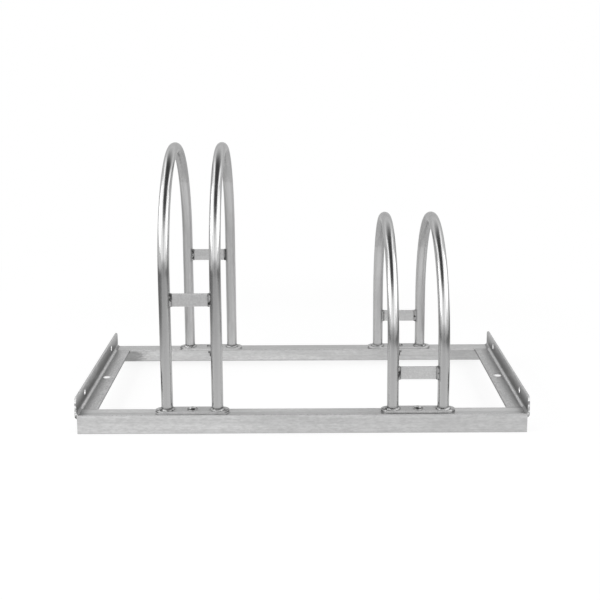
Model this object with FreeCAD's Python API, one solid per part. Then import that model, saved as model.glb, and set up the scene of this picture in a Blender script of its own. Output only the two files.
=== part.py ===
"""Floor rack for two bicycles, made of hot-dip galvanised steel.

A low frame of hot-rolled angle stands on its front and rear rails. Two pairs of bent tube hoops,
one tall and one low, are welded to foot plates, and each foot plate is bolted to its rail. A front
wheel stands between the two hoops of a pair, on the flat crossbars.

Millimetres. The origin is on the floor under the middle of the rack, +X runs along the rails,
+Y goes from the front rail to the rear rail, and +Z is up.
"""
import FreeCAD, Part
import math
import os

# ---------------------------------------------------------------- driving dimensions

# Frame
OVERALL_LENGTH = 700.0       # over the upright legs of the two end angles
FRAME_DEPTH = 390.0          # over the outer faces of the two rails
ANGLE_LEG = 30.0             # equal angle, both legs
ANGLE_WALL = 3.0
ANGLE_ROOT_RADIUS = 4.0
ANGLE_TOE_RADIUS = 2.0
UPRIGHT_CORNER_RADIUS = 8.0  # top corners of the end angles' upright legs

# Holes for bolting racks end to end, and for the floor
COUPLING_HOLE_DIAMETER = 9.0
COUPLING_HOLE_INSET = 70.0   # from the rails' outer faces
COUPLING_HOLE_RISE = 15.0    # above the rails' top
ANCHOR_HOLE_DIAMETER = 12.0
ANCHOR_HOLE_GAUGE = 16.0     # from the end angle's outer face

# Bays
BAY_PITCH = 350.0            # tall bay's centre to low bay's centre
BAY_SHIFT = 5.0              # the pair of bays sits this far to the right of the middle
WHEEL_GAP = 60.0             # clear width between the two hoops of a bay

# Hoops
TUBE_DIAMETER = 18.0
TUBE_WALL = 1.5
HIGH_BEND_HEIGHT = 244.0     # floor to the start of the bend
LOW_BEND_HEIGHT = 125.0

# Crossbars
CROSSBAR_HEIGHT = 20.0
CROSSBAR_THICKNESS = 4.0
HIGH_CROSSBAR_LEVEL = 208.0  # floor to the middle of the bar
LOW_CROSSBAR_LEVEL = 91.0

# Foot plates
PLATE_WIDTH = 25.0
PLATE_THICKNESS = 4.0
PLATE_OVERHANG = 9.5         # past the outside of each leg

# Fasteners: cup-head square-neck bolt, washer and hexagon nut
BOLT_DIAMETER = 6.0
BOLT_HEAD_DIAMETER = 16.5
BOLT_HEAD_HEIGHT = 3.9
BOLT_HEAD_RIM = 0.5
NECK_WIDTH = 6.4
THREAD_PAST_NUT = 6.4
THREAD_CHAMFER = 0.8
WASHER_DIAMETER = 12.0
WASHER_THICKNESS = 1.6
NUT_ACROSS_FLATS = 10.0
NUT_HEIGHT = 5.0

# Welds
FOOT_WELD_LEG = 3.0
CROSSBAR_WELD_LEG = 3.0
SEAM_WIDTH = 6.0
SEAM_HEIGHT = 1.2

# Clearances
BOLT_HOLE_CLEARANCE = 1.0    # rail hole over bolt
NECK_CLEARANCE = 0.4         # square hole over neck, and neck short of the plate's underside
WASHER_HOLE_CLEARANCE = 0.4
THREAD_CLEARANCE = 0.1       # nut over bolt
ROOT_CLEARANCE = 4.0         # washer's edge to the start of the rail's root radius

# ---------------------------------------------------------------- places that follow from them

RAIL_LENGTH = OVERALL_LENGTH - 2 * ANGLE_WALL
RAIL_TOP = ANGLE_LEG
FLANGE_UNDERSIDE = RAIL_TOP - ANGLE_WALL
PLATE_TOP = RAIL_TOP + PLATE_THICKNESS

# The bolt line keeps the washer clear of the rail's root radius, and the legs stand on that line.
BOLT_LINE_INSET = ANGLE_WALL + ANGLE_ROOT_RADIUS + ROOT_CLEARANCE + WASHER_DIAMETER / 2
BEND_RADIUS = FRAME_DEPTH / 2 - BOLT_LINE_INSET
TUBE_RADIUS = TUBE_DIAMETER / 2
HOOP_SPACING = WHEEL_GAP + TUBE_DIAMETER
PLATE_LENGTH = HOOP_SPACING + TUBE_DIAMETER + 2 * PLATE_OVERHANG

# name, centre in X, start of the bend, middle of the crossbars
BAYS = (
    ("high", BAY_SHIFT - BAY_PITCH / 2, HIGH_BEND_HEIGHT, HIGH_CROSSBAR_LEVEL),
    ("low", BAY_SHIFT + BAY_PITCH / 2, LOW_BEND_HEIGHT, LOW_CROSSBAR_LEVEL),
)
# name, outward direction in Y
RAIL_SIDES = (("front", -1), ("rear", 1))
# name, outward direction in X
END_SIDES = (("left", -1), ("right", 1))

X_AXIS = FreeCAD.Vector(1, 0, 0)
Y_AXIS = FreeCAD.Vector(0, 1, 0)
Z_AXIS = FreeCAD.Vector(0, 0, 1)


# ---------------------------------------------------------------- shared outlines

def closed_face(edges):
    return Part.Face(Part.Wire(edges))


def line(start, end):
    return Part.LineSegment(start, end).toShape()


def arc(start, middle, end):
    return Part.Arc(start, middle, end).toShape()


def angle_section(place):
    """The rolled angle's section. place(a, b) maps distances along the two legs from the heel."""
    leg = ANGLE_LEG
    wall = ANGLE_WALL
    root = ANGLE_ROOT_RADIUS
    toe = min(ANGLE_TOE_RADIUS, wall)
    toe_middle = toe * (1 - math.sqrt(0.5))
    root_middle = wall + root * (1 - math.sqrt(0.5))
    return closed_face([
        line(place(0, 0), place(leg, 0)),
        line(place(leg, 0), place(leg, wall - toe)),
        arc(place(leg, wall - toe), place(leg - toe_middle, wall - toe_middle), place(leg - toe, wall)),
        line(place(leg - toe, wall), place(wall + root, wall)),
        arc(place(wall + root, wall), place(root_middle, root_middle), place(wall, wall + root)),
        line(place(wall, wall + root), place(wall, leg - toe)),
        arc(place(wall, leg - toe), place(wall - toe_middle, leg - toe_middle), place(wall - toe, leg)),
        line(place(wall - toe, leg), place(0, leg)),
        line(place(0, leg), place(0, 0)),
    ])


def round_hole(diameter, start, direction, depth):
    return Part.makeCylinder(diameter / 2, depth, start, direction)


def square_bar(width, centre, height):
    """An upright square bar, from its lower face's centre."""
    corner = centre - FreeCAD.Vector(width / 2, width / 2, 0)
    return Part.makeBox(width, width, height, corner)


def bolt_line_y(side):
    return side * (FRAME_DEPTH / 2 - BOLT_LINE_INSET)


def hoop_x(bay_x, side):
    return bay_x + side * HOOP_SPACING / 2


# ---------------------------------------------------------------- frame

def rail(side):
    """An angle with its flange on top, pointing inwards, and its other leg down to the floor."""
    start = -RAIL_LENGTH / 2
    outer = side * FRAME_DEPTH / 2
    section = angle_section(lambda a, b: FreeCAD.Vector(start, outer - side * a, RAIL_TOP - b))
    bar = section.extrude(X_AXIS * RAIL_LENGTH)
    for name, bay_x, bend, crossbar in BAYS:
        bottom = FreeCAD.Vector(bay_x, bolt_line_y(side), FLANGE_UNDERSIDE - 1)
        bar = bar.cut(round_hole(BOLT_DIAMETER + BOLT_HOLE_CLEARANCE, bottom, Z_AXIS, ANGLE_WALL + 2))
    return bar


def upright_outline(side):
    """The end angle seen from the side, with its top corners rounded, as a slab across the angle."""
    half = FRAME_DEPTH / 2
    low = FLANGE_UNDERSIDE
    high = low + ANGLE_LEG
    radius = UPRIGHT_CORNER_RADIUS
    middle = radius * (1 - math.sqrt(0.5))
    outer = side * OVERALL_LENGTH / 2

    def at(y, z):
        return FreeCAD.Vector(outer, y, z)

    outline = closed_face([
        line(at(-half, low), at(half, low)),
        line(at(half, low), at(half, high - radius)),
        arc(at(half, high - radius), at(half - middle, high - middle), at(half - radius, high)),
        line(at(half - radius, high), at(-half + radius, high)),
        arc(at(-half + radius, high), at(-half + middle, high - middle), at(-half, high - radius)),
        line(at(-half, high - radius), at(-half, low)),
    ])
    return outline.extrude(X_AXIS * (-side * ANGLE_LEG))


def end_angle(side):
    """One leg stands up outside the rail ends. The flat leg is notched to fit between the rails'
    flanges, level with them, and the root radius is left on over the notches."""
    outer = side * OVERALL_LENGTH / 2
    front = -FRAME_DEPTH / 2
    section = angle_section(lambda a, b: FreeCAD.Vector(outer - side * a, front, FLANGE_UNDERSIDE + b))
    bar = section.extrude(Y_AXIS * FRAME_DEPTH)
    bar = bar.common(upright_outline(side))

    notch_x = min(side * RAIL_LENGTH / 2, side * (RAIL_LENGTH / 2 - ANGLE_LEG))
    for notch_y in (front, -front - ANGLE_LEG):
        corner = FreeCAD.Vector(notch_x, notch_y, FLANGE_UNDERSIDE)
        bar = bar.cut(Part.makeBox(ANGLE_LEG, ANGLE_LEG, ANGLE_WALL, corner))

    hole_z = RAIL_TOP + COUPLING_HOLE_RISE
    for rail_name, rail_side in RAIL_SIDES:
        hole_y = rail_side * (FRAME_DEPTH / 2 - COUPLING_HOLE_INSET)
        start = FreeCAD.Vector(outer + side, hole_y, hole_z)
        bar = bar.cut(round_hole(COUPLING_HOLE_DIAMETER, start, X_AXIS * -side, ANGLE_WALL + 2))
    start = FreeCAD.Vector(outer - side * ANCHOR_HOLE_GAUGE, 0, FLANGE_UNDERSIDE - 1)
    return bar.cut(round_hole(ANCHOR_HOLE_DIAMETER, start, Z_AXIS, ANGLE_WALL + 2))


# ---------------------------------------------------------------- hoops and what is welded to them

def hoop(x, bend_height):
    """One tube: a leg up from each foot plate and a half circle over the top."""
    def disc(radius, y):
        circle = Part.Circle(FreeCAD.Vector(x, y, bend_height), Z_AXIS, radius)
        return closed_face([circle.toShape()])

    def ring(y):
        return disc(TUBE_RADIUS, y).cut(disc(TUBE_RADIUS - TUBE_WALL, y))

    down = Z_AXIS * (PLATE_TOP - bend_height)
    front_ring = ring(-BEND_RADIUS)
    bend = front_ring.revolve(FreeCAD.Vector(x, 0, bend_height), -X_AXIS, 180)
    return bend.fuse([front_ring.extrude(down), ring(BEND_RADIUS).extrude(down)])


def crossbar(bay_x, y, level):
    corner = FreeCAD.Vector(bay_x - WHEEL_GAP / 2, y - CROSSBAR_THICKNESS / 2, level - CROSSBAR_HEIGHT / 2)
    return Part.makeBox(WHEEL_GAP, CROSSBAR_THICKNESS, CROSSBAR_HEIGHT, corner)


def foot_plate(bay_x, y):
    """A flat bar with full-round ends and a square hole for the bolt's neck."""
    end = PLATE_WIDTH / 2
    straight = PLATE_LENGTH / 2 - end

    def at(dx, dy):
        return FreeCAD.Vector(bay_x + dx, y + dy, RAIL_TOP)

    outline = closed_face([
        line(at(-straight, -end), at(straight, -end)),
        arc(at(straight, -end), at(straight + end, 0), at(straight, end)),
        line(at(straight, end), at(-straight, end)),
        arc(at(-straight, end), at(-straight - end, 0), at(-straight, -end)),
    ])
    plate = outline.extrude(Z_AXIS * PLATE_THICKNESS)
    return plate.cut(square_bar(NECK_WIDTH + NECK_CLEARANCE, at(0, 0) - Z_AXIS, PLATE_THICKNESS + 2))


def foot_weld(x, y):
    """A fillet of equal legs all round a tube's foot."""
    leg = FOOT_WELD_LEG

    def at(out, up):
        return FreeCAD.Vector(x + TUBE_RADIUS + out, y, PLATE_TOP + up)

    section = Part.Face(Part.makePolygon([at(0, 0), at(leg, 0), at(0, leg), at(0, 0)]))
    return section.revolve(FreeCAD.Vector(x, y, 0), Z_AXIS, 360)


def crossbar_weld(bay_x, y, level, end_side, face_side):
    """A bead up one side of a crossbar's end, between the bar's face and the round tube."""
    axis_x = hoop_x(bay_x, end_side)
    half_bar = CROSSBAR_THICKNESS / 2
    bottom = level - CROSSBAR_HEIGHT / 2

    def at(inward, out):
        return FreeCAD.Vector(axis_x - end_side * inward, y + face_side * out, bottom)

    def on_tube(out):
        return at(math.sqrt(TUBE_RADIUS ** 2 - out ** 2), out)

    corner = on_tube(half_bar)
    on_bar = at(TUBE_RADIUS + CROSSBAR_WELD_LEG, half_bar)
    top = half_bar + CROSSBAR_WELD_LEG
    tube_top = on_tube(top)
    chord_middle = (on_bar + tube_top) / 2
    crown = chord_middle + (chord_middle - corner) * 0.25
    section = closed_face([
        line(corner, on_bar),
        arc(on_bar, crown, tube_top),
        arc(tube_top, on_tube((half_bar + top) / 2), corner),
    ])
    return section.extrude(Z_AXIS * CROSSBAR_HEIGHT)


# ---------------------------------------------------------------- frame welds

def corner_seam(end_side, rail_side):
    """A low bead under the joint between an end angle's flat leg and a rail's flange."""
    joint_y = rail_side * (FRAME_DEPTH / 2 - ANGLE_LEG)
    start_x = end_side * RAIL_LENGTH / 2
    half = SEAM_WIDTH / 2

    def at(dy, down):
        return FreeCAD.Vector(start_x, joint_y + dy, FLANGE_UNDERSIDE - down)

    section = closed_face([
        line(at(-half, 0), at(half, 0)),
        arc(at(half, 0), at(0, SEAM_HEIGHT), at(-half, 0)),
    ])
    return section.extrude(X_AXIS * (-end_side * (ANGLE_LEG - ANGLE_WALL)))


def corner_tack(end_side, rail_side):
    """A small fillet in the outside corner under an upright leg, against the rail's cut end."""
    wall = ANGLE_WALL
    x = end_side * RAIL_LENGTH / 2
    y = rail_side * FRAME_DEPTH / 2

    def at(out, down):
        return FreeCAD.Vector(x + end_side * out, y, FLANGE_UNDERSIDE - down)

    section = Part.Face(Part.makePolygon([at(0, 0), at(wall, 0), at(0, wall), at(0, 0)]))
    return section.extrude(Y_AXIS * (-rail_side * wall))


# ---------------------------------------------------------------- fasteners

def carriage_bolt(x, y):
    """A low domed head on the foot plate, a square neck in it and a thread down through the nut."""
    head_radius = BOLT_HEAD_DIAMETER / 2
    dome_height = BOLT_HEAD_HEIGHT - BOLT_HEAD_RIM
    dome_radius = (head_radius ** 2 + dome_height ** 2) / (2 * dome_height)
    half_angle = math.asin(min(1.0, head_radius / dome_radius)) / 2

    def at(radius, up):
        return FreeCAD.Vector(x + radius, y, PLATE_TOP + up)

    dome_middle = at(
        dome_radius * math.sin(half_angle),
        BOLT_HEAD_HEIGHT - dome_radius * (1 - math.cos(half_angle)),
    )
    head = closed_face([
        line(at(0, 0), at(head_radius, 0)),
        line(at(head_radius, 0), at(head_radius, BOLT_HEAD_RIM)),
        arc(at(head_radius, BOLT_HEAD_RIM), dome_middle, at(0, BOLT_HEAD_HEIGHT)),
        line(at(0, BOLT_HEAD_HEIGHT), at(0, 0)),
    ]).revolve(FreeCAD.Vector(x, y, 0), Z_AXIS, 360)

    neck_length = PLATE_THICKNESS - NECK_CLEARANCE
    neck = square_bar(NECK_WIDTH, at(0, -neck_length), neck_length)

    length = PLATE_THICKNESS + ANGLE_WALL + WASHER_THICKNESS + NUT_HEIGHT + THREAD_PAST_NUT
    shank_radius = BOLT_DIAMETER / 2
    straight = length - THREAD_CHAMFER
    shank = Part.makeCylinder(shank_radius, straight, at(0, 0), -Z_AXIS)
    point = Part.makeCone(shank_radius, shank_radius - THREAD_CHAMFER, THREAD_CHAMFER, at(0, -straight), -Z_AXIS)
    return head.fuse([neck, shank, point]).removeSplitter()


def washer(x, y):
    bottom = FreeCAD.Vector(x, y, FLANGE_UNDERSIDE - WASHER_THICKNESS)
    disc = Part.makeCylinder(WASHER_DIAMETER / 2, WASHER_THICKNESS, bottom)
    bore_radius = (BOLT_DIAMETER + WASHER_HOLE_CLEARANCE) / 2
    return disc.cut(Part.makeCylinder(bore_radius, WASHER_THICKNESS, bottom))


def nut(x, y):
    """A hexagon nut with both faces' corners turned off at thirty degrees."""
    bottom = FreeCAD.Vector(x, y, FLANGE_UNDERSIDE - WASHER_THICKNESS - NUT_HEIGHT)
    corner_radius = NUT_ACROSS_FLATS / math.sqrt(3)
    corners = [
        bottom + FreeCAD.Vector(corner_radius * math.cos(turn), corner_radius * math.sin(turn), 0)
        for turn in (math.radians(60 * step) for step in range(7))
    ]
    hexagon = Part.Face(Part.makePolygon(corners)).extrude(Z_AXIS * NUT_HEIGHT)

    face_radius = NUT_ACROSS_FLATS * 0.475
    rise = (corner_radius - face_radius) * math.tan(math.radians(30))

    def at(radius, up):
        return FreeCAD.Vector(x + radius, y, bottom.z + up)

    turned = closed_face([
        line(at(0, 0), at(face_radius, 0)),
        line(at(face_radius, 0), at(corner_radius, rise)),
        line(at(corner_radius, rise), at(corner_radius, NUT_HEIGHT - rise)),
        line(at(corner_radius, NUT_HEIGHT - rise), at(face_radius, NUT_HEIGHT)),
        line(at(face_radius, NUT_HEIGHT), at(0, NUT_HEIGHT)),
        line(at(0, NUT_HEIGHT), at(0, 0)),
    ]).revolve(FreeCAD.Vector(x, y, 0), Z_AXIS, 360)
    bore = Part.makeCylinder((BOLT_DIAMETER + THREAD_CLEARANCE) / 2, NUT_HEIGHT, bottom)
    return hexagon.common(turned).cut(bore)


# ---------------------------------------------------------------- assembly

def bay_pieces(bay_name, bay_x, bend_height, crossbar_level):
    """The two hoops of a bay with the crossbar, foot plate and fasteners at each rail."""
    pieces = {}
    for end_name, end_side in END_SIDES:
        pieces[f"hoop_{bay_name}_{end_name}"] = hoop(hoop_x(bay_x, end_side), bend_height)
    for rail_name, rail_side in RAIL_SIDES:
        place = f"{bay_name}_{rail_name}"
        y = bolt_line_y(rail_side)
        pieces[f"crossbar_{place}"] = crossbar(bay_x, y, crossbar_level)
        pieces[f"foot_plate_{place}"] = foot_plate(bay_x, y)
        pieces[f"carriage_bolt_{place}"] = carriage_bolt(bay_x, y)
        pieces[f"washer_{place}"] = washer(bay_x, y)
        pieces[f"nut_{place}"] = nut(bay_x, y)
    return pieces


def weld_pieces():
    foot_welds = []
    crossbar_welds = []
    frame_welds = []
    for rail_name, rail_side in RAIL_SIDES:
        y = bolt_line_y(rail_side)
        for end_name, end_side in END_SIDES:
            frame_welds.append(corner_seam(end_side, rail_side))
            frame_welds.append(corner_tack(end_side, rail_side))
            for bay_name, bay_x, bend_height, crossbar_level in BAYS:
                foot_welds.append(foot_weld(hoop_x(bay_x, end_side), y))
                for face_side in (-1, 1):
                    crossbar_welds.append(crossbar_weld(bay_x, y, crossbar_level, end_side, face_side))
    return {
        "foot_welds": Part.makeCompound(foot_welds),
        "crossbar_welds": Part.makeCompound(crossbar_welds),
        "frame_welds": Part.makeCompound(frame_welds),
    }


def assembly():
    pieces = {}
    for rail_name, rail_side in RAIL_SIDES:
        pieces[f"{rail_name}_rail"] = rail(rail_side)
    for end_name, end_side in END_SIDES:
        pieces[f"{end_name}_end_angle"] = end_angle(end_side)
    for bay in BAYS:
        pieces.update(bay_pieces(*bay))
    pieces.update(weld_pieces())
    return pieces


os.makedirs("parts", exist_ok=True)
for piece_name, shape in assembly().items():
    shape.exportStep(f"parts/{piece_name}.step")
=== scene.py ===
import bpy
import bmesh
import math
from functools import partial, reduce
from mathutils import Matrix, Vector


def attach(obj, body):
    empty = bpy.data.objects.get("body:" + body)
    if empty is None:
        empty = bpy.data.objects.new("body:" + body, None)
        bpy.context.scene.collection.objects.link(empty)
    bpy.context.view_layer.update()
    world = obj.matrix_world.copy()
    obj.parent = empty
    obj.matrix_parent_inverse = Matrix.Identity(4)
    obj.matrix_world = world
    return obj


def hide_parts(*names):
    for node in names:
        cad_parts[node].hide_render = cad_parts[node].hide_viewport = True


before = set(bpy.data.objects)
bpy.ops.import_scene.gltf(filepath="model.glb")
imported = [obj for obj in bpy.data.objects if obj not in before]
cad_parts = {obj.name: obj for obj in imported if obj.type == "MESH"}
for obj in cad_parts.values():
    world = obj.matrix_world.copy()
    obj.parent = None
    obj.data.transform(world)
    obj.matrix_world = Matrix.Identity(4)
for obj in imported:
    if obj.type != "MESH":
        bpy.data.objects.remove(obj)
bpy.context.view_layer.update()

# ---------------------------------------------------------------- camera
# A long lens stands in front of the rack and a little above it, looking down by about ten degrees.
# The photograph is the top part of a taller frame, which the vertical shift stands for.
picture_side = 600.0
focal_length = 1110.8
optical_axis_row = 240.0

camera_data = bpy.data.cameras.new("camera")
camera_data.sensor_width = 36.0
camera_data.lens = focal_length / picture_side * camera_data.sensor_width
camera_data.shift_y = (optical_axis_row - picture_side / 2) / picture_side
camera_data.clip_end = 50.0
camera = bpy.data.objects.new("camera", camera_data)
bpy.context.scene.collection.objects.link(camera)
camera.location = (0.0044, -1.8261, 0.6052)
camera.rotation_mode = "QUATERNION"
camera.rotation_quaternion = (
    Matrix.Rotation(math.radians(0.207), 3, "Z")
    @ Matrix.Rotation(math.radians(90 - 10.486), 3, "X")
    @ Matrix.Rotation(math.radians(-0.327), 3, "Z")
).to_quaternion()
bpy.context.scene.camera = camera
bpy.context.scene.view_settings.view_transform = "Standard"


# ---------------------------------------------------------------- floor, lamps and drape
# White paper under a white surround, with a large soft lamp on each side over dark skirting. A dark
# drape hangs over the camera and shows only in the bright metal, as the dark line down each bent tube.
def put(tree, kind, inputs=(), **settings):
    """Adds a node. An input given as a socket is linked, and anything else is set as its value."""
    node = tree.nodes.new(kind)
    for key, value in settings.items():
        setattr(node, key, value)
    for key, value in dict(inputs).items():
        if isinstance(value, bpy.types.NodeSocket):
            tree.links.new(value, node.inputs[key])
        else:
            node.inputs[key].default_value = value
    return node


def made(tree, kind, inputs=(), **settings):
    """Adds a node and gives its first output."""
    return put(tree, kind, inputs, **settings).outputs[0]


def tree_of(*values):
    """The node tree of the first socket among some values."""
    return next(value.id_data for value in values if isinstance(value, bpy.types.NodeSocket))


def calculate(operation, *values, clamp=False):
    inputs = dict(enumerate(values))
    return made(tree_of(*values), "ShaderNodeMath", inputs, operation=operation, use_clamp=clamp)


plus = partial(calculate, "ADD")
minus = partial(calculate, "SUBTRACT")
times = partial(calculate, "MULTIPLY")
times_plus = partial(calculate, "MULTIPLY_ADD")
divided = partial(calculate, "DIVIDE")
larger = partial(calculate, "MAXIMUM")
smaller = partial(calculate, "MINIMUM")
unsigned = partial(calculate, "ABSOLUTE")


def vector_math(operation, *values):
    node = put(tree_of(*values), "ShaderNodeVectorMath", dict(enumerate(values)), operation=operation)
    return node.outputs["Value" if operation == "LENGTH" else "Vector"]


def parts_of(place):
    return put(tree_of(place), "ShaderNodeSeparateXYZ", {0: place}).outputs[:3]


def shown_rays(tree):
    """1 for the rays that see the white surround: straight from the camera, mirrored or through glass."""
    rays = put(tree, "ShaderNodeLightPath").outputs
    return larger(rays["Is Camera Ray"], larger(rays["Is Glossy Ray"], rays["Is Transmission Ray"]))


def spread(value, low, high, to_low=0.0, to_high=1.0):
    """Maps low..high smoothly to to_low..to_high, held at both ends."""
    inputs = {"Value": value, "From Min": low, "From Max": high, "To Min": to_low, "To Max": to_high}
    return made(tree_of(value), "ShaderNodeMapRange", inputs, interpolation_type="SMOOTHSTEP")


def object_place(tree):
    return put(tree, "ShaderNodeTexCoord").outputs["Object"]


def link_piece(name, mesh):
    piece = bpy.data.objects.new(name, mesh)
    bpy.context.scene.collection.objects.link(piece)
    return piece


def plain_piece(name, points, edges=(), faces=()):
    mesh = bpy.data.meshes.new(name)
    mesh.from_pydata(points, list(edges), list(faces))
    return link_piece(name, mesh)


surround = bpy.data.worlds.new("white surround")
bpy.context.scene.world = surround
surround.use_nodes = True
sky = surround.node_tree
sky_level = made(sky, "ShaderNodeMapRange", {"Value": shown_rays(sky), "To Min": 0.55, "To Max": 1.0})
sky.links.new(sky_level, sky.nodes["Background"].inputs["Strength"])
sky.nodes["Background"].inputs["Color"].default_value = (1, 1, 1, 1)

floor_reach = 12
floor_corners = [(x * floor_reach, y * floor_reach, 0) for x, y in ((-1, -1), (1, -1), (1, 1), (-1, 1))]
floor = plain_piece("paper_floor", floor_corners, faces=[(0, 1, 2, 3)])
paper = bpy.data.materials.new("white paper")
paper.use_nodes = True
tree = paper.node_tree
tree.nodes.clear()
paper_glow_fade = (0.6, 1.3)
matt = made(tree, "ShaderNodeBsdfDiffuse", {"Color": (0.9, 0.9, 0.9, 1)})
from_rack = vector_math("LENGTH", object_place(tree))
strength = spread(from_rack, *paper_glow_fade, 1.14, 1.0)
glow = made(tree, "ShaderNodeEmission", {"Color": (1, 1, 1, 1), "Strength": strength})
glow_share = times(shown_rays(tree), spread(from_rack, *paper_glow_fade, 0.7, 1.0))
both = made(tree, "ShaderNodeMixShader", {0: glow_share, 1: matt, 2: glow})
put(tree, "ShaderNodeOutputMaterial", {"Surface": both})
floor.data.materials.append(paper)

for side, lamp_level in ((-1, 2.16), (1, 1.84)):
    lamp_data = bpy.data.lights.new("side_lamp", "AREA")
    lamp_data.shape = "RECTANGLE"
    lamp_data.size = 1.3
    lamp_data.size_y = 0.9
    lamp_data.energy = lamp_level * math.pi * lamp_data.size * lamp_data.size_y
    lamp = bpy.data.objects.new("side_lamp", lamp_data)
    lamp.location = (side * 1.15, -0.35, 0.9)
    lamp.rotation_euler = (math.radians(90), 0, math.radians(side * 90))
    lamp.visible_camera = False
    bpy.context.scene.collection.objects.link(lamp)


def only_mirrored(sheet, material_name, strength_of):
    """Makes a sheet that nothing but bright metal shows, with a glow given by its own place."""
    cloth = bpy.data.materials.new(material_name)
    cloth.use_nodes = True
    tree = cloth.node_tree
    tree.nodes.clear()
    glow = made(tree, "ShaderNodeEmission", {"Strength": strength_of(parts_of(object_place(tree)))})
    put(tree, "ShaderNodeOutputMaterial", {"Surface": glow})
    sheet.data.materials.append(cloth)
    for kind_of_ray in ("camera", "diffuse", "transmission", "shadow"):
        setattr(sheet, f"visible_{kind_of_ray}", False)


def blend_grey(factor, first, second):
    """first where the factor is 0 and second where it is 1, for plain numbers."""
    tree = tree_of(factor, first, second)
    return made(tree, "ShaderNodeMix", {0: factor, 2: first, 3: second}, data_type="FLOAT")


drape_radius = 1.3
drape_middle = 0.2
drape_half_width = 1.05
drape_from, drape_to = -6, 150
drape_steps = 32
drape_corners = []
for step in range(drape_steps + 1):
    rise = math.radians(drape_from + (drape_to - drape_from) * step / drape_steps)
    across, up = -drape_radius * math.cos(rise), drape_middle + drape_radius * math.sin(rise)
    drape_corners += [(-drape_half_width, across, up), (drape_half_width, across, up)]
drape_faces = [(2 * step, 2 * step + 1, 2 * step + 3, 2 * step + 2) for step in range(drape_steps)]


def drape_glow(place):
    """Dark overhead and lighter to the sides and the back. In front it narrows to a line over a pale wall,
    which is brighter off to the sides and dark again along its foot."""
    above = minus(place[2], drape_middle)
    rise = calculate("DEGREES", calculate("ARCTAN2", above, times(place[1], -1.0)))
    width = spread(rise, 20.0, 64.0, 0.03, 0.95)
    off_middle = unsigned(place[0])
    aside = divided(off_middle, width)
    sides = spread(aside, 0.4, 0.95)
    head = spread(rise, 104.0, 146.0)
    foot = spread(rise, 58.0, 20.0)
    lighter = larger(larger(sides, head), foot)
    lit_wall = spread(off_middle, 0.1, 0.6, 1.3, 1.9)
    high_wall = spread(off_middle, 0.45, 0.8, 1.2, 2.4)
    high_wall = blend_grey(head, high_wall, 1.15)
    wall = blend_grey(spread(rise, 26.0, 48.0), lit_wall, high_wall)
    wall = times(wall, spread(rise, 3.0, 11.0, 0.35, 1.0))
    core = 0.09
    return times_plus(lighter, minus(wall, core), core)


only_mirrored(plain_piece("dark_drape", drape_corners, faces=drape_faces), "dark drape", drape_glow)

skirt_corners = [(side * 1.2, y, z) for side in (-1, 1)
                 for y, z in ((-1.5, 0), (0.5, 0), (0.5, 0.45), (-1.5, 0.45))]
dark_skirts = plain_piece("dark_skirts", skirt_corners, faces=[(0, 1, 2, 3), (4, 5, 6, 7)])
only_mirrored(dark_skirts, "dark skirts", lambda place: spread(place[2], 0.09, 0.17, 0.2, 1.0))

paper_edge, paper_front = 0.5, -0.25
far = floor_reach
dark_floor_corners = [(-paper_edge, far), (-paper_edge, paper_front), (paper_edge, paper_front),
                      (paper_edge, far), (far, far), (far, -far), (-far, -far), (-far, far)]
dark_floor = plain_piece("dark_floor", [(x, y, 0.001) for x, y in dark_floor_corners],
                         faces=[(0, 1, 6, 7), (1, 2, 5, 6), (2, 3, 4, 5)])


def dark_floor_glow(place):
    """Past the paper's sides the floor is dark, in front it falls off slowly, and behind it is pale."""
    aside = times(spread(unsigned(place[0]), 0.5, 0.95), spread(place[1], 0.35, 0.9, 1.0, 0.0))
    beside = blend_grey(aside, 0.98, 0.24)
    before = spread(place[1], -0.25, -1.15, 0.96, 0.66)
    before = times(before, spread(place[1], -1.3, -1.65, 1.0, 0.38))
    return smaller(beside, before)


only_mirrored(dark_floor, "dark floor", dark_floor_glow)


# ---------------------------------------------------------------- front and rear rails
# Hot-rolled equal angle, sawn to length and zinc coated. One leg stands on the ground along the outside
# and the other lies flat on top, pointing inwards, with a drilled hole for each foot plate's bolt.
rail_top = 0.030
rail_end = 0.347
frame_half_depth = 0.195
angle_leg = 0.030
angle_wall = 0.003
flange_underside = rail_top - angle_wall
angle_root = 0.004
angle_toe = 0.002
bolt_line = 0.178
bolt_hole_radius = 0.0035
drill_reach = 0.006
bay_middles = {"high": -0.170, "low": 0.180}


def new_tree(name, kind, inputs, outputs):
    """A node group and the sockets inside it. An input is given by its default value or by its type."""
    tree = bpy.data.node_groups.new(name, kind)
    types = {float: "Float", int: "Int", tuple: "Vector"}
    for label, value in inputs.items():
        socket_type = value if isinstance(value, str) else types[type(value)]
        socket = tree.interface.new_socket(label, in_out="INPUT", socket_type=f"NodeSocket{socket_type}")
        if not isinstance(value, str):
            socket.default_value = value
    for label, socket_type in outputs.items():
        tree.interface.new_socket(label, in_out="OUTPUT", socket_type=f"NodeSocket{socket_type}")
    return tree, tree.nodes.new("NodeGroupInput").outputs, tree.nodes.new("NodeGroupOutput").inputs


def noise(vector, scale, detail=3.0, roughness=0.55, distortion=0.0):
    inputs = {"Vector": vector, "Scale": scale, "Detail": detail, "Roughness": roughness}
    return put(tree_of(vector), "ShaderNodeTexNoise", {**inputs, "Distortion": distortion}).outputs["Fac"]


def vector_of(x, y, z=0.0):
    return made(tree_of(x, y, z), "ShaderNodeCombineXYZ", {0: x, 1: y, 2: z})


def stretched(vector, factors):
    return vector_math("MULTIPLY", vector, factors)


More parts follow.
